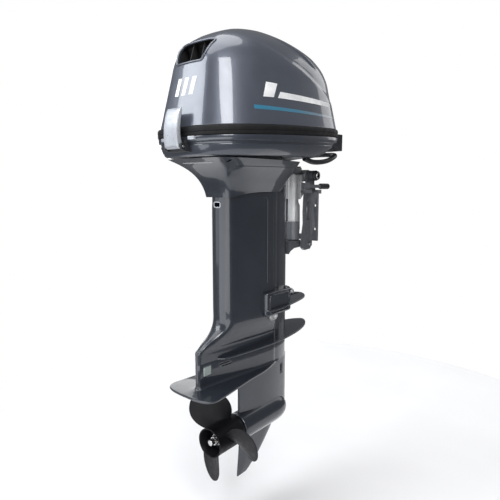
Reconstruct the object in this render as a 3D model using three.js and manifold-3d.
// Outboard motor, 40-horsepower class, two-stroke, long shaft, bolt-on transom brackets.
// Millimetres, +X starboard, +Y forward (towards the boat), +Z up.
// The shapes are laid out from the anti-ventilation plate (z = 0) and the leg's leading
// edge (y = 0), then the whole motor is moved so that its origin is the middle of the
// transom's top aft edge, under the two bracket hooks.
import * as THREE from "three";
import { mergeVertices } from "three/addons/utils/BufferGeometryUtils.js";
import Module from "manifold-3d";

const wasm = await Module();
wasm.setup();

// ---------- driving dimensions ----------
const TRANSOM_Y = 96;         // transom's aft face
const TRANSOM_Z = 540;        // transom's top above the anti-ventilation plate
const GAP = 0.3;              // gap between touching pieces
const SHAFT_Y = -105;         // crankshaft and drive shaft axis
const PROP_Z = -182;          // propeller shaft axis
const STEER_Y = 46;           // steering pivot axis
const TILT_Y = 84, TILT_Z = 600;   // tilt tube axis
const SEAM_Z = 700;           // cowl seam at the aft end
const SEAM_SLOPE = 0.0615;    // the seam climbs towards the bow
const COWL_T = 5;             // cowl wall
const JOINT_Z = 72;           // joint between the leg and the gearcase
const LEG_TOP = 598;
const PROP_R = 145, HUB_R = 43, PROP_PITCH = 300;
const TORPEDO_R = 44;

// ---------- helpers ----------
const root = new THREE.Group();
const inner = new THREE.Group();
inner.position.set(0, -TRANSOM_Y, -TRANSOM_Z);
root.add(inner);

function solid(geo) {
  let g = geo.clone();
  for (const k of Object.keys(g.attributes)) if (k !== "position") g.deleteAttribute(k);
  g = mergeVertices(g, 1e-3);
  const p = g.attributes.position.array;
  const idx = [];
  const src = g.index.array;
  for (let i = 0; i < src.length; i += 3) {
    const [a, b, c] = [src[i], src[i + 1], src[i + 2]];
    if (a !== b && b !== c && a !== c) idx.push(a, b, c);
  }
  let vol = 0;
  for (let i = 0; i < idx.length; i += 3) {
    const a = idx[i] * 3, b = idx[i + 1] * 3, c = idx[i + 2] * 3;
    vol += p[a] * (p[b + 1] * p[c + 2] - p[b + 2] * p[c + 1])
         - p[a + 1] * (p[b] * p[c + 2] - p[b + 2] * p[c])
         + p[a + 2] * (p[b] * p[c + 1] - p[b + 1] * p[c]);
  }
  if (vol < 0) for (let i = 0; i < idx.length; i += 3) [idx[i + 1], idx[i + 2]] = [idx[i + 2], idx[i + 1]];
  return new wasm.Manifold(new wasm.Mesh({
    numProp: 3, vertProperties: new Float32Array(p), triVerts: new Uint32Array(idx),
  }));
}

function box(x0, x1, y0, y1, z0, z1) {
  const g = new THREE.BoxGeometry(x1 - x0, y1 - y0, z1 - z0);
  g.translate((x0 + x1) / 2, (y0 + y1) / 2, (z0 + z1) / 2);
  return solid(g);
}

// cylinder along an axis from a to b; u, v place it on the two other axes in X, Y, Z order
function cyl(axis, r, a, b, u, v, n = 20, r2 = r) {
  const g = new THREE.CylinderGeometry(r2, r, b - a, n);
  g.translate(0, (a + b) / 2, 0);
  if (axis === "x") { g.rotateZ(-Math.PI / 2); g.translate(0, u, v); }
  if (axis === "y") g.translate(u, 0, v);
  if (axis === "z") { g.rotateX(Math.PI / 2); g.translate(u, v, 0); }
  return solid(g);
}

// polygon swept along an axis from a to b; points are the two other axes in X, Y, Z order
function prism(axis, pts, a, b) {
  const s = new THREE.Shape(pts.map((p) => new THREE.Vector2(p[0], p[1])));
  const g = new THREE.ExtrudeGeometry(s, { depth: b - a, bevelEnabled: false });
  if (axis === "z") g.translate(0, 0, a);
  if (axis === "y") { g.rotateX(Math.PI / 2); g.translate(0, b, 0); }
  if (axis === "x") { g.rotateX(Math.PI / 2); g.rotateZ(Math.PI / 2); g.translate(a, 0, 0); }
  return solid(g);
}

// profile [radius, position] turned about an axis
function turned(axis, pts, u, v, n = 24) {
  const g = new THREE.LatheGeometry(pts.map((p) => new THREE.Vector2(p[0], p[1])), n);
  if (axis === "x") { g.rotateZ(-Math.PI / 2); g.translate(0, u, v); }
  if (axis === "y") g.translate(u, 0, v);
  if (axis === "z") { g.rotateX(Math.PI / 2); g.translate(u, v, 0); }
  return solid(g);
}

// skin through rings of equal length, closed by a fan at each end
function loft(rings) {
  const n = rings[0].length, pos = [], idx = [];
  for (const r of rings) for (const p of r) pos.push(p[0], p[1], p[2]);
  const cap = (r) => {
    let c = [0, 0, 0];
    for (const p of r) { c[0] += p[0] / n; c[1] += p[1] / n; c[2] += p[2] / n; }
    pos.push(...c);
    return pos.length / 3 - 1;
  };
  for (let i = 0; i + 1 < rings.length; i++) for (let j = 0; j < n; j++) {
    const a = i * n + j, b = i * n + (j + 1) % n, c = a + n, d = b + n;
    idx.push(a, b, d, a, d, c);
  }
  const c0 = cap(rings[0]), c1 = cap(rings[rings.length - 1]), last = (rings.length - 1) * n;
  for (let j = 0; j < n; j++) {
    idx.push(c0, (j + 1) % n, j);
    idx.push(c1, last + j, last + (j + 1) % n);
  }
  const g = new THREE.BufferGeometry();
  g.setAttribute("position", new THREE.Float32BufferAttribute(pos, 3));
  g.setIndex(idx);
  return solid(g);
}

// round bar along a smooth path
function bar(points, r, steps, sides = 8) {
  const curve = new THREE.CatmullRomCurve3(points.map((p) => new THREE.Vector3(...p)), false, "centripetal");
  const s = new THREE.Shape();
  for (let i = 0; i < sides; i++) {
    const t = (2 * Math.PI * i) / sides;
    if (i === 0) s.moveTo(r * Math.cos(t), r * Math.sin(t)); else s.lineTo(r * Math.cos(t), r * Math.sin(t));
  }
  return solid(new THREE.ExtrudeGeometry(s, { steps, extrudePath: curve, bevelEnabled: false }));
}

const mirrorHalf = (half) => half.concat(half.slice(1, -1).reverse().map((p) => [-p[0], p[1]]));

// move each point of a closed outline along its outward normal
function offset(ring, d) {
  if (!d) return ring.map((p) => [...p]);
  const n = ring.length;
  let area = 0;
  for (let i = 0; i < n; i++) { const a = ring[i], b = ring[(i + 1) % n]; area += a[0] * b[1] - b[0] * a[1]; }
  const sg = area > 0 ? 1 : -1;
  return ring.map((p, i) => {
    const a = ring[(i + n - 1) % n], b = ring[(i + 1) % n];
    let n1 = [p[1] - a[1], a[0] - p[0]], n2 = [b[1] - p[1], p[0] - b[0]];
    const l1 = Math.hypot(...n1) || 1, l2 = Math.hypot(...n2) || 1;
    n1 = [n1[0] / l1, n1[1] / l1]; n2 = [n2[0] / l2, n2[1] / l2];
    let m = [n1[0] + n2[0], n1[1] + n2[1]];
    const l = Math.hypot(...m) || 1;
    m = [m[0] / l, m[1] / l];
    const k = (sg * d) / Math.max(0.5, m[0] * n1[0] + m[1] * n1[1]);
    return [p[0] + m[0] * k, p[1] + m[1] * k];
  });
}
const at = (ring, z) => ring.map((p) => [p[0], p[1], typeof z === "function" ? z(p[1]) : z]);
const mix = (a, b, t) => a.map((p, i) => [p[0] + (b[i][0] - p[0]) * t, p[1] + (b[i][1] - p[1]) * t]);

function add(name, man, color, roughness, metalness) {
  const m = man.getMesh();
  const g = new THREE.BufferGeometry();
  const p = new Float32Array(m.numVert * 3);
  for (let i = 0; i < m.numVert; i++) for (let k = 0; k < 3; k++) p[i * 3 + k] = m.vertProperties[i * m.numProp + k];
  g.setAttribute("position", new THREE.BufferAttribute(p, 3));
  g.setIndex(Array.from(m.triVerts));
  g.computeVertexNormals();
  const mesh = new THREE.Mesh(g, new THREE.MeshStandardMaterial({ color, roughness, metalness }));
  mesh.name = name;
  inner.add(mesh);
}

const PAINT = [0x4a4f5a, 0.28, 0.35], LEG = [0x3c414b, 0.35, 0.3], BLACK = [0x16171a, 0.45, 0.0];
const RUBBER = [0x0d0d0e, 0.7, 0.0], CAST = [0x5a5f66, 0.5, 0.4], SILVER = [0xa9adb2, 0.45, 0.8];
const STEEL = [0xb8bbbf, 0.25, 1.0], LATCH = [0x9aa0a8, 0.35, 0.5], ZINC = [0x9aa3a0, 0.6, 0.5];
const BRONZE = [0x8d7a55, 0.4, 0.9];

// ---------- cowls ----------
// plan outlines, starboard half from the aft centre to the bow
const SEAM_PLAN = mirrorHalf([[0, -464], [45, -462], [78, -457], [91, -451], [108, -437], [135, -404], [158, -354],
  [172, -290], [179, -210], [180, -130], [175, -42], [162, 32], [138, 88], [102, 134], [55, 163], [0, 173]]);
const SHOULDER_PLAN = mirrorHalf([[0, -424], [35, -422], [60, -417], [70, -412], [86, -397], [108, -366], [130, -320],
  [145, -263], [153, -195], [154, -125], [149, -50], [135, 16], [112, 66], [82, 103], [45, 127], [0, 136]]);
const FLOOR_PLAN = mirrorHalf([[0, -446], [44, -444], [72, -440], [83, -435], [98, -422], [120, -392], [138, -350],
  [146, -290], [149, -215], [148, -140], [140, -70], [124, -20], [100, 8], [70, 22], [36, 28], [0, 30]]);
const seamTilt = (z) => (z >= SEAM_Z ? Math.max(0, 1 - (z - SEAM_Z) / 200) : Math.max(0.4, 1 - (SEAM_Z - z) * 0.008));
const tilted = (z) => (y) => z + SEAM_SLOPE * (y + 450) * seamTilt(z);
const CROWN = [[885, 1], [902, 0.965], [918, 0.92], [945, 0.8], [966, 0.66], [986, 0.48], [1000, 0.3], [1009, 0.13]];
function cowlRing(z, d) {
  if (z <= 885) return at(offset(mix(SEAM_PLAN, SHOULDER_PLAN, (z - SEAM_Z) / 185), d), tilted(z));
  let f = CROWN[CROWN.length - 1][1];
  for (let i = 0; i + 1 < CROWN.length; i++) {
    const [z0, f0] = CROWN[i], [z1, f1] = CROWN[i + 1];
    if (z >= z0 && z <= z1) f = f0 + ((f1 - f0) * (z - z0)) / (z1 - z0);
  }
  const aft = 14 * Math.sin(Math.PI * Math.min(1, (1 - f) * 1.25));
  return at(offset(SHOULDER_PLAN.map((p) => [p[0] * f, -145 + (p[1] + 145) * f - (p[1] < -145 ? (aft * (-145 - p[1])) / 280 : 0)]), d * f), tilted(z > 945 ? 945 + (z - 945) * 0.93 : z));
}
const cowlLevels = [712.3, 740, 770, 805, 845, 885, 902, 918, 945, 966, 986, 1000, 1009];
const cowlOuter = loft(cowlLevels.map((z) => cowlRing(z, 0)));
const cowlInner = loft([690, 712.3, 800, 885, 910, 935, 958, 980, 998, 1007].map((z) => {
  const r = cowlRing(Math.max(z, 700), -COWL_T);
  const drop = z > 885 ? COWL_T * (1 - CROWN_F(z)) + 1.2 : 0;
  return r.map((p) => [p[0], p[1], p[2] - drop - (z < 700 ? 12 : 0)]);
}));
function CROWN_F(z) {
  for (let i = 0; i + 1 < CROWN.length; i++) if (z <= CROWN[i + 1][0]) {
    const [z0, f0] = CROWN[i], [z1, f1] = CROWN[i + 1];
    return f0 + ((f1 - f0) * Math.max(0, z - z0)) / (z1 - z0);
  }
  return 0.13;
}
const mouth = (k) => [[-44 - k, 876 - k], [44 + k, 876 - k], [61 + k, 928 + k * 0.6], [40, 931 + k * 0.6], [-40, 931 + k * 0.6], [-61 - k, 928 + k * 0.6]];
add("top_cowl", cowlOuter.subtract(cowlInner).subtract(prism("y", mouth(0), -480, -360)), ...PAINT);

// dark duct behind the rear mouth, with two upright ribs
const ductBody = prism("y", mouth(5), -440, -366).intersect(cowlInner.translate([0, 0.5, -0.5]));
let duct = ductBody.subtract(prism("y", mouth(0), -480, -370));
for (const x of [-20, 20]) {
  duct = duct.add(prism("x", [[-404, 874], [-366, 874], [-366, 934], [-384, 934]], x - 1.2, x + 1.2).intersect(ductBody));
}
add("rear_air_duct", duct, ...BLACK);

// rubber seal band around the seam
add("cowl_seal", loft([at(offset(SEAM_PLAN, 0), tilted(688)), at(offset(SEAM_PLAN, 3), tilted(691)),
  at(offset(SEAM_PLAN, 3.5), tilted(706)), at(offset(SEAM_PLAN, 0), tilted(712))])
  .subtract(loft([at(offset(SEAM_PLAN, -9), tilted(680)), at(offset(SEAM_PLAN, -9), tilted(720))])), ...RUBBER);

// lower cowl: a tray with a lipped rim and a rounded floor
const lowerRing = (z, d) => at(offset(mix(SEAM_PLAN, FLOOR_PLAN, z >= 687 ? 0 : Math.pow((687 - z) / 49, 2.1)), d), tilted(z));
const lowerOuter = (d) => loft([[638, d], [645, d + 0.5], [655, d], [666.5, d], [668.5, d - 2.5], [672.5, d - 2.5],
  [674.5, d + 2.5], [687.6, d + 2.5]].map(([z, k]) => lowerRing(z, k)));
const floorHole = prism("z", offset(mirrorHalf([[0, -404], [70, -396], [104, -330], [112, -230], [108, -130], [78, -66], [0, -64]]), 0), 600, 700);
add("lower_cowl", lowerOuter(0).subtract(loft([644, 654, 668, 695].map((z) => lowerRing(z, -COWL_T)))).subtract(floorHole), ...PAINT);

// rear latch: lever on a pin between the ears of a base on the lower cowl
const LATCH_PIN = [-479, 662];
add("latch_base", box(-36, 36, -473, -445, 650, 677)
  .add(prism("x", [[-470, 652], [-484, 655], [-485, 668], [-470, 674]], 26.4, 34))
  .add(prism("x", [[-470, 652], [-484, 655], [-485, 668], [-470, 674]], -34, -26.4))
  .subtract(lowerOuter(0.4)).subtract(cyl("x", 3.9, -40, 40, ...LATCH_PIN, 12)), ...BLACK);
add("latch_pin", cyl("x", 3.5, -35.5, 35.5, ...LATCH_PIN, 12), ...STEEL);
add("cowl_latch", prism("x", [[-474.2, 663], [-475.2, 658.2], [-479, 656.6], [-483, 657.8], [-489, 660], [-491, 672], [-492, 690], [-490, 715], [-484, 740], [-475, 757],
  [-470.5, 755], [-473, 738], [-476, 716], [-477, 696], [-474.2, 676]], -25.6, 25.6)
  .subtract(cyl("x", 3.9, -40, 40, ...LATCH_PIN, 12)), ...LATCH);

// front carry handle and the cable entry block
add("carry_handle", bar([[92, -30, 650], [98, 10, 641], [103, 80, 646], [94, 150, 664], [64, 196, 673], [0, 210, 676],
  [-64, 196, 673], [-94, 150, 664], [-103, 80, 646], [-98, 10, 641], [-92, -30, 650]], 8, 24, 6)
  .subtract(lowerOuter(0.5)), ...BLACK);
add("cable_entry_block", prism("z", [[40, 100], [112, 100], [118, 160], [104, 183], [48, 190], [40, 186]], 684, 736)
  .subtract(lowerOuter(0.5)).subtract(loft([at(offset(SEAM_PLAN, 4.2), tilted(683)), at(offset(SEAM_PLAN, 4.2), tilted(760))])), ...BLACK);

// ---------- apron ----------
const LEG_PLAN = mirrorHalf([[0, -5], [9, -9], [18, -22], [27, -44], [36, -80], [40, -104], [47, -110], [51, -135], [51, -180],
  [48, -230], [43, -275], [37, -305], [28, -318], [14, -325], [0, -327]]);
const legColumn = loft([at(offset(LEG_PLAN, 0.5), 500), at(offset(LEG_PLAN, 0.5), LEG_TOP + 1)]);
const APRON = [[534, -330, -78, 45, 58], [552, -334, -76, 48, 64], [572, -342, -72, 53, 76], [590, -353, -68, 60, 90],
  [608, -371, -65, 70, 106], [622, -392, -62, 82, 120], [636.6, -424, -60, 96, 132]];
const apronRing = ([z, ya, yf, ha, hm], d) => at(offset(mirrorHalf([[0, ya], [ha * 0.6, ya + 1], [ha, ya + 6], [ha + (hm - ha) * 0.5, ya + 26],
  [hm * 0.97, ya + 70], [hm, (ya + yf) / 2], [hm * 0.96, yf - 60], [hm * 0.82, yf - 18], [hm * 0.5, yf - 3], [0, yf]]), d), (y) => z + (z < 560 ? 14 * Math.max(0, Math.min(1, (y + 320) / 80)) * (560 - z) / 26 : 0));
add("apron", loft(APRON.map((a) => apronRing(a, 0)))
  .subtract(loft([[500, ...APRON[0].slice(1)], ...APRON.slice(0, 6), [660, ...APRON[6].slice(1)]].map((a) => apronRing(a, -4))))
  .subtract(box(-50, 50, -110, -40, 600, 629)).subtract(legColumn)
  .subtract(cyl("x", 4, 60, 160, -290, 628, 10)), ...LEG);

// ---------- leg (drive shaft housing) ----------
const FIN_PLAN = mirrorHalf([[0, -5], [9, -9], [18, -22], [27, -44], [35.5, -80], [38, -104], [39.5, -110], [39, -135], [36, -180],
  [30, -230], [23, -290], [17, -340], [12, -385], [8.5, -410], [0, -416]]);
const flare = [[JOINT_Z + GAP, 1], [106, 0.99], [112, 0.88], [123, 0.7], [135, 0.45], [147, 0.25], [160, 0.09], [176, 0]];
const SPLASH = mirrorHalf([[0, 112], [20, 99], [42, 64], [58, 12], [67, -60], [67, -140], [57, -215], [44, -280], [30, -335], [0, -350]]);
const EXHAUST = mirrorHalf([[0, -280], [18, -270], [24, -220], [20, -165], [0, -155]]);
const splashSkew = (z) => (y) => z + 0.032 * (y + 150);
const legOuter = loft([...flare.map(([z, t]) => at(mix(LEG_PLAN, FIN_PLAN, t), z)), at(LEG_PLAN, 420), at(LEG_PLAN, LEG_TOP)]);
const LEG_CORE = mirrorHalf([[0, -14], [6, -17], [13, -29], [21, -50], [29, -80], [33, -104], [34, -112], [33, -135], [30, -180],
  [24, -230], [17, -275], [10, -292], [0, -297]]);
add("leg_housing", legOuter.add(loft([at(SPLASH, splashSkew(76)), at(offset(SPLASH, 0.5), splashSkew(79)), at(SPLASH, splashSkew(82))]))
  .subtract(loft([at(LEG_CORE, 50), at(LEG_CORE, LEG_TOP - 14)])).subtract(box(-90, 90, -480, 140, 40, JOINT_Z + GAP))
  .subtract(cyl("z", 14, 560, 610, 0, SHAFT_Y, 16)).subtract(prism("z", EXHAUST, 560, 610))
  .subtract(box(-10, 10, -345, -280, 508, 519)), ...LEG);

// lower mount covers with the wrap-round splash fin, one each side
function mountCover(sx) {
  const half = (pts) => (sx > 0 ? pts : pts.map((p) => [-p[0], p[1]]).reverse());
  const body = prism("z", half([[20, -38], [50, -40], [62, -52], [66, -60], [67, -172], [60, -180], [20, -182]]), 168, 242);
  const fin = prism("z", half([[0.3, 96], [14, 92], [34, 74], [50, 46], [62, 0], [72, -60], [78, -110], [76, -150], [66, -178], [40, -178], [0.3, -20]]), 186, 190.5);
  return body.add(fin).subtract(loft([at(offset(LEG_PLAN, 0.4), 150), at(offset(LEG_PLAN, 0.4), 260)]))
    .subtract(cyl("y", 6.6, -84, 0, sx * 56, 226, 12)).subtract(cyl("y", 11.4, -47, 0, sx * 56, 226, 12));
}
add("lower_mount_cover_starboard", mountCover(1), ...LEG);
add("lower_mount_cover_port", mountCover(-1), ...LEG);
const hexBolt = (sx, z, y0, y1) => cyl("y", 6.2, y0, y1 - 7, sx * 56, z, 12).add(cyl("y", 10.5, y1 - 8, y1, sx * 56, z, 6));
for (const [n, sx] of [["starboard", 1], ["port", -1]]) {
  add("lower_mount_bolt_" + n, hexBolt(sx, 226, -78, -38), ...STEEL);
}

// ---------- gearcase ----------
const PLATE = mirrorHalf([[0, -461], [26, -460.5], [58, -456], [79, -446], [88, -426], [86, -394], [77, -330], [67, -261], [57, -170],
  [41, -110], [27, -62], [13, -30], [0, -20]]);
const STRUT = mirrorHalf([[0, 2], [7, -2], [13, -16], [18, -45], [21, -85], [20, -130], [15, -180], [8, -222], [3, -239], [0, -240]]);
const torpedo = turned("y", [[0, -250], [41, -250], [TORPEDO_R, -240], [TORPEDO_R, -76], [42.5, -57], [38.5, -41], [32, -27], [23, -16], [12, -9.5], [0, -7]], 0, PROP_Z, 28);
const skeg = loft([[-205, 6, -50, -238], [-250, 5.5, -76, -237], [-290, 4.6, -116, -241], [-320, 3.6, -150, -245], [-349, 2, -200, -248]]
  .map(([z, t, yl, yt]) => at([[0, yl], [t, yl - 26], [t, yt + 40], [1.2, yt], [-1.2, yt], [-t, yt + 40], [-t, yl - 26]], z)));
let gearcase = loft([at(FIN_PLAN, -4), at(FIN_PLAN, JOINT_Z)])
  .add(loft([at(offset(PLATE, -1), -7), at(PLATE, -5), at(PLATE, -2), at(offset(PLATE, -1.2), 0)]))
  .add(loft([at(STRUT, -180), at(STRUT, -60), at(offset(STRUT, 1), -3)]))
  .add(torpedo).add(skeg);
gearcase = gearcase
  .subtract(cyl("y", 34, -262, -62, 0, PROP_Z, 24))
  .subtract(cyl("y", 9.6, -80, -30, 0, PROP_Z, 16))
  .subtract(cyl("z", 17, PROP_Z, -136, 0, SHAFT_Y, 20))
  .subtract(cyl("z", 11, -150, 90, 0, SHAFT_Y, 16))
  .subtract(box(-30, 30, -399, -371, 36, 62))
  .subtract(box(-60, 60, -340, -300, 54, 57)).subtract(box(-60, 60, -332, -292, 47, 50))
  .subtract(box(15.5, 40, -48, -28, -66, -28)).subtract(box(-40, -15.5, -48, -28, -66, -28))
  .subtract(box(6, 40, -44, -32, -62, -32)).subtract(box(-40, -6, -44, -32, -62, -32));
add("gearcase", gearcase, ...LEG);
add("anode", box(-14.5, 14.5, -398.6, -371.4, 36.4, 61.6), ...ZINC);
for (const [n, sx] of [["starboard", 1], ["port", -1]]) {
  let s = box(Math.min(sx * 12.6, sx * 15.2), Math.max(sx * 12.6, sx * 15.2), -43.6, -32.4, -61.6, -32.4);
  for (const z of [-56, -50.5, -45, -39.5]) s = s.subtract(box(-30, 30, -42, -34, z, z + 2.6));
  add("water_inlet_" + n, s, ...BLACK);
}
add("bearing_carrier", turned("y", [[10, -246], [33.6, -246], [33.6, -240], [26, -236], [26, -196], [33.6, -192], [33.6, -180], [10, -180], [10, -246]], 0, PROP_Z, 18), ...CAST);

// ---------- drive line ----------
add("drive_shaft", cyl("z", 8.5, -146, 110, 0, SHAFT_Y, 16).add(cyl("z", 8.5, 109, 652, 0, SHAFT_Y, 16)), ...STEEL);
// toothed wheel: outline with teeth standing proud of the root radius
function gearOutline(n, root, tip) {
  const pts = [];
  for (let i = 0; i < n; i++) for (const [f, r] of [[-0.28, tip], [0.12, tip], [0.3, root], [0.56, root]]) {
    if (n > 13 && (f === 0.12 || f === 0.56)) continue;
    const t = (2 * Math.PI * (i + f)) / n;
    pts.push([r * Math.sin(t), r * Math.cos(t)]);
  }
  return pts;
}
// the pinion hangs on the drive shaft between the two large gears
add("pinion", prism("z", gearOutline(13, 12.4, 14.6), -168, -150).translate([0, SHAFT_Y, 0])
  .subtract(cyl("z", 8.9, -170, -140, 0, SHAFT_Y, 16)), ...STEEL);
const largeGear = (y0, y1, yh0, yh1) => prism("y", gearOutline(26, 27.5, 30.5), y0, y1).add(cyl("y", 14, yh0, yh1, 0, 0, 16))
  .subtract(cyl("y", 9.5, -200, 0, 0, 0, 16)).translate([0, 0, PROP_Z]);
add("forward_gear", largeGear(-86, -72, -73, -65), ...STEEL);
add("reverse_gear", largeGear(-140, -124, -147, -139), ...STEEL);
add("clutch_dog", turned("y", [[9.8, -101], [13, -101], [13, -87], [9.8, -87], [9.8, -101]], 0, PROP_Z, 12), ...STEEL);

// water pump on the gearcase top
add("pump_housing", turned("z", [[11, 72.4], [30, 72.4], [30, 100], [11, 100], [11, 96], [24, 96], [24, 77], [11, 77], [11, 72.4]], 0, SHAFT_Y, 16), ...BLACK);
let imp = turned("z", [[8.9, 78.5], [14, 78.5], [14, 94.5], [8.9, 94.5], [8.9, 78.5]], 0, SHAFT_Y, 12);
for (let i = 0; i < 6; i++) {
  const g = new THREE.BoxGeometry(10, 15.6, 3); g.translate(17.5, 86.5, 0); g.rotateY((Math.PI * i) / 3);
  g.rotateX(Math.PI / 2); g.translate(0, SHAFT_Y, 0); imp = imp.add(solid(g));
}
add("pump_impeller", imp, ...RUBBER);

// ---------- propeller ----------
const hub = turned("y", [[9.4, -253], [34, -253], [HUB_R - 1, -256], [HUB_R, -290], [HUB_R, -352], [HUB_R + 1.5, -368], [HUB_R - 3, -368], [37, -350], [35, -328],
  [20, -328], [20, -334], [9.4, -334], [9.4, -253]], 0, PROP_Z, 28);
function blade(theta0) {
  const st = [[34, 33, 0, 9], [62, 37.5, -1.4, 8], [92, 37, -3, 6.4], [118, 30.5, -5.5, 4.8], [136, 18.5, -9.5, 3.6], [PROP_R, 5, -14, 2.4]];
  const lead = PROP_PITCH / (2 * Math.PI);
  const ss = [-1, -0.6, 0, 0.6, 1], th = [0.3, 0.85, 1, 0.85, 0.3];
  const rings = st.map(([r, half, skew, t]) => {
    const pts = [];
    const beta = Math.atan(lead / r);
    const mk = (s, k, side) => {
      const a = ((skew + s * half) * Math.PI) / 180;
      const y = -306 + lead * a - (r - 34) * 0.1 + (side * t * k) / (2 * Math.cos(beta));
      const q = theta0 + a;
      return [r * Math.sin(q), y, PROP_Z + r * Math.cos(q)];
    };
    for (let i = 0; i < 5; i++) pts.push(mk(ss[i], th[i], 1));
    for (let i = 4; i >= 0; i--) pts.push(mk(ss[i], th[i], -1));
    return pts;
  });
  return loft(rings);
}
let prop = hub;
for (const a of [-30, 90, 210]) prop = prop.add(blade((a * Math.PI) / 180));
prop = prop.subtract(cyl("y", 34.9, -400, -328.5, 0, PROP_Z, 28).subtract(cyl("y", 20, -400, -300, 0, PROP_Z, 20)))
  .subtract(cyl("y", 9.4, -400, -240, 0, PROP_Z, 20)).subtract(cyl("y", 20.1, -400, -334, 0, PROP_Z, 20));
add("propeller", prop, ...BLACK);
add("propeller_shaft", cyl("y", 9, -366, -32, 0, PROP_Z, 20), ...STEEL);
add("propeller_nut", cyl("y", 17, -338, -334.5, 0, PROP_Z, 20).add(cyl("y", 14.5, -352, -338, 0, PROP_Z, 6))
  .subtract(cyl("y", 9.3, -360, -330, 0, PROP_Z, 20)), ...STEEL);

// ---------- steering pivot ----------
add("pivot_shaft", cyl("z", 12, 363, 625.4, 0, STEER_Y, 20), ...STEEL);
add("steering_arm", prism("z", [[-26, -85], [26, -85], [34, -30], [30, 30], [22, 62], [8, 72], [-8, 72], [-22, 62], [-30, 30], [-34, -30]], 606, 626)
  .add(prism("z", [[-14, 60], [14, 60], [14, 69], [8, 72], [-8, 72], [-14, 69]], 625, 631))
  .subtract(cyl("z", 12.4, 600, 640, 0, STEER_Y, 20)), ...CAST);
add("lower_yoke", prism("x", [[-8, 340], [4, 350], [22, 357], [64, 359], [69, 366], [69, 382], [-8, 382]], -22, 22)
  .subtract(box(-40, 40, STEER_Y, 100, 330, 390).subtract(cyl("z", 26.5, 320, 400, 0, STEER_Y, 24)))
  .subtract(cyl("z", 12.4, 362.6, 390, 0, STEER_Y, 20)).subtract(loft([at(offset(LEG_PLAN, 0.4), 300), at(offset(LEG_PLAN, 0.4), 400)])), ...CAST);

// ---------- swivel bracket ----------
const TILT = [TILT_Y, TILT_Z];
add("swivel_bracket", cyl("z", 17.5, 384, 604, 0, STEER_Y, 24).add(cyl("z", 22, 384, 446, 0, STEER_Y, 24))
  .add(prism("x", [[STEER_Y, 604], [TILT_Y + 6, 618], [TILT_Y + 20, 604], [TILT_Y + 18, 588], [STEER_Y + 20, 540], [STEER_Y, 520]], -31, 31))
  .add(cyl("x", 20, -34, 34, ...TILT, 20))
  .add(prism("x", [[STEER_Y, 540], [STEER_Y + 30, 500], [STEER_Y + 32, 420], [STEER_Y + 26, 388], [STEER_Y, 388]], -8, 8))
  .add(box(-30, 30, 50, 73, 386, 404))
  .subtract(box(-60, 60, -20, 110, 604.5, 700).intersect(cyl("z", 40, 604.5, 640, 0, STEER_Y - 12, 20)))
  .subtract(cyl("z", 12.35, 350, 640, 0, STEER_Y, 20))
  .subtract(cyl("x", 11.4, -60, 60, ...TILT, 20)), ...SILVER);

// ---------- transom brackets ----------
function bracket(sx) {
  const X = (a, b) => (sx > 0 ? [a, b] : [-b, -a]);
  const side = [[40, 358], [52, 350], [84, 352], [TRANSOM_Y, 366], [TRANSOM_Y, TRANSOM_Z], [112, TRANSOM_Z], [112, 555], [105, 572],
    [104, 606], [94, 617], [74, 617], [65, 606], [58, 566], [52, 520], [50, 480], [52, 440], [42, 392]];
  const [a, b] = X(35, 46), [c, d] = X(35, 70);
  return prism("x", side, a, b)
    .add(box(c, d, 86, TRANSOM_Y, 380, TRANSOM_Z + 6)).add(box(c, d, 88, 112, TRANSOM_Z, 553))
    .add(cyl("x", 17, ...X(35, 60), ...TILT, 20))
    .subtract(cyl("y", 5.5, 60, 130, sx * 60, 500, 12)).subtract(cyl("y", 5.5, 60, 130, sx * 60, 420, 12))
    .subtract(cyl("x", 11.4, -90, 90, ...TILT, 20))
    .subtract(cyl("x", 5.4, -90, 90, 80, 368, 12))
    .subtract(prism("x", [[62, 450], [78, 456], [78, 510], [64, 520], [60, 490]], ...X(30, 50)));
}
add("transom_bracket_starboard", bracket(1).add(prism("z", [[40, 70], [40, 40], [58, 3], [63, -0.6], [80, -0.6], [80, 30], [60, 70]], 543, 553.4))
  .subtract(cyl("z", 5.35, 540, 560, 68, 8, 12)), ...CAST);
add("transom_bracket_port", bracket(-1), ...CAST);
add("tilt_tube", cyl("x", 11, -74, 74, ...TILT, 20).subtract(cyl("x", 8, -80, 80, ...TILT, 16)), ...STEEL);
for (const [n, sx] of [["starboard", 1], ["port", -1]]) {
  const p = [[11.3, 60.5], [17, 60.5], [17, 66], [12.6, 69], [14.5, 72.5], [11.3, 72.5], [11.3, 60.5]];
  add("tilt_tube_nut_" + n, sx > 0 ? turned("x", p, ...TILT, 14) : turned("x", p.map((q) => [q[0], -q[1]]), ...TILT, 14), ...BLACK);
}
add("thrust_rod", cyl("x", 5, -52, 52, 80, 368, 12).add(cyl("x", 8, 46.6, 52, 80, 368, 6)).add(cyl("x", 8, -52, -46.6, 80, 368, 6)), ...STEEL);

// tilt lock lever on the starboard bracket, with its pivot bolt
add("lever_bolt", cyl("z", 5, 549, 580, 68, 8, 12).add(cyl("z", 8.5, 575.6, 581, 68, 8, 6)), ...STEEL);
add("tilt_lock_lever", prism("z", [[60.5, 2], [64, -0.6], [75, -0.6], [78, 10], [74, 30], [72, 104], [66, 104], [63, 30], [58, 10]], 554, 575)
  .subtract(cyl("z", 5.35, 540, 590, 68, 8, 12)).subtract(box(50, 90, 34, 110, 570, 590)).subtract(box(50, 90, 34, 110, 540, 559)), ...CAST);
add("lever_grip", cyl("y", 9.6, 104.4, 154, 69, 564.5, 14), ...BLACK);

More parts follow.
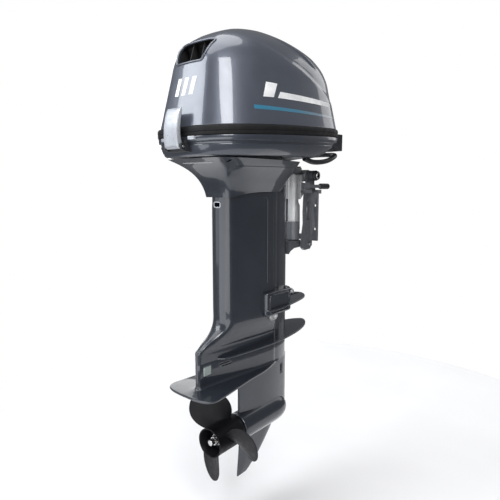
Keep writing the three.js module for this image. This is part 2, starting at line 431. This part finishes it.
// ---------- powerhead ----------
add("powerhead_base", prism("z", offset(mirrorHalf([[0, -340], [48, -334], [70, -290], [78, -200], [72, -130], [52, -88], [0, -86]]), 0), LEG_TOP + GAP, 660)
  .subtract(cyl("z", 14, 590, 670, 0, SHAFT_Y, 16)).subtract(prism("z", EXHAUST, 590, 640)), ...CAST);
add("cylinder_block", box(-62, 62, -300, SHAFT_Y - 0.2, 660.4, 868).add(box(-78, -60, -290, -150, 690, 850))
  .subtract(cyl("z", 47, 682, 846, 0, SHAFT_Y, 24)).subtract(cyl("z", 19, 650, 880, 0, SHAFT_Y, 20))
  .subtract(cyl("y", 40, -320, SHAFT_Y, 0, 724, 24)).subtract(cyl("y", 40, -320, SHAFT_Y, 0, 808, 24)), ...CAST);
add("crankcase_cover", box(-56, 56, SHAFT_Y + 0.2, -50, 660.4, 868)
  .subtract(cyl("z", 47, 682, 846, 0, SHAFT_Y, 24)).subtract(cyl("z", 19, 650, 880, 0, SHAFT_Y, 20)), ...CAST);
let head = box(-60, 60, -352, -300.4, 668, 862);
for (const z of [724, 808]) head = head.subtract(cyl("y", 7.4, -380, -290, 0, z, 12));
for (const x of [-44, -30, -16, 16, 30, 44]) head = head.subtract(box(x - 3, x + 3, -360, -330, 660, 870));
add("cylinder_head", head, ...CAST);
for (const [n, z] of [["lower", 724], ["upper", 808]]) {
  add("spark_plug_" + n, cyl("y", 7, -360, -306, 0, z, 12).add(cyl("y", 11, -362, -353, 0, z, 6)).add(cyl("y", 10, -392, -362, 0, z, 12)), ...BLACK);
}
add("exhaust_cover", box(62.4, 76, -290, -150, 676, 850), ...CAST);
for (const [n, z] of [["lower", 718], ["upper", 806]]) {
  add("carburettor_" + n, box(-26, 26, -49.6, -6, z - 26, z + 26).add(cyl("y", 26, -20, 34, 0, z, 20)).add(cyl("z", 20, z - 42, z - 20, 0, 8, 16)), ...SILVER);
}
add("air_silencer", box(-62, 62, 34.5, 84, 690, 846), ...BLACK);
add("starter_motor", cyl("z", 36, 690, 830, 100, -92, 20).add(cyl("z", 14, 825, 850, 100, -92, 14)), ...BLACK);
add("ignition_box", box(-112, -79, -270, -160, 700, 800), ...BLACK);
add("ignition_coil", box(-110, -82, -130, -80, 740, 800), ...BLACK);
add("fuel_filter", cyl("z", 18, 720, 790, -92, -20, 16).add(cyl("z", 8, 790, 805, -92, -20, 12)), ...SILVER);

// crankshaft: main journal with two opposed throws; flywheel above
let crank = cyl("z", 17, 661, 884, 0, SHAFT_Y, 16).add(cyl("z", 12, 654, 662, 0, SHAFT_Y, 16));
for (const [z, y] of [[724, -1], [808, 1]]) {
  for (const dz of [-22, 10]) crank = crank.add(cyl("z", 40, z + dz, z + dz + 12, 0, SHAFT_Y, 16));
  crank = crank.add(cyl("z", 12, z - 12, z + 12, 0, SHAFT_Y + y * 26, 10));
}
crank = crank.subtract(cyl("z", 8.9, 640, 660, 0, SHAFT_Y, 16));
add("crankshaft", crank, ...STEEL);
add("flywheel", turned("z", [[17.4, 872], [100, 872], [104, 876], [104, 906], [100, 910], [60, 914], [17.4, 914], [17.4, 872]], 0, SHAFT_Y, 28), ...CAST);
add("flywheel_nut", cyl("z", 20, 914.4, 928, 0, SHAFT_Y, 6), ...STEEL);

export default root;
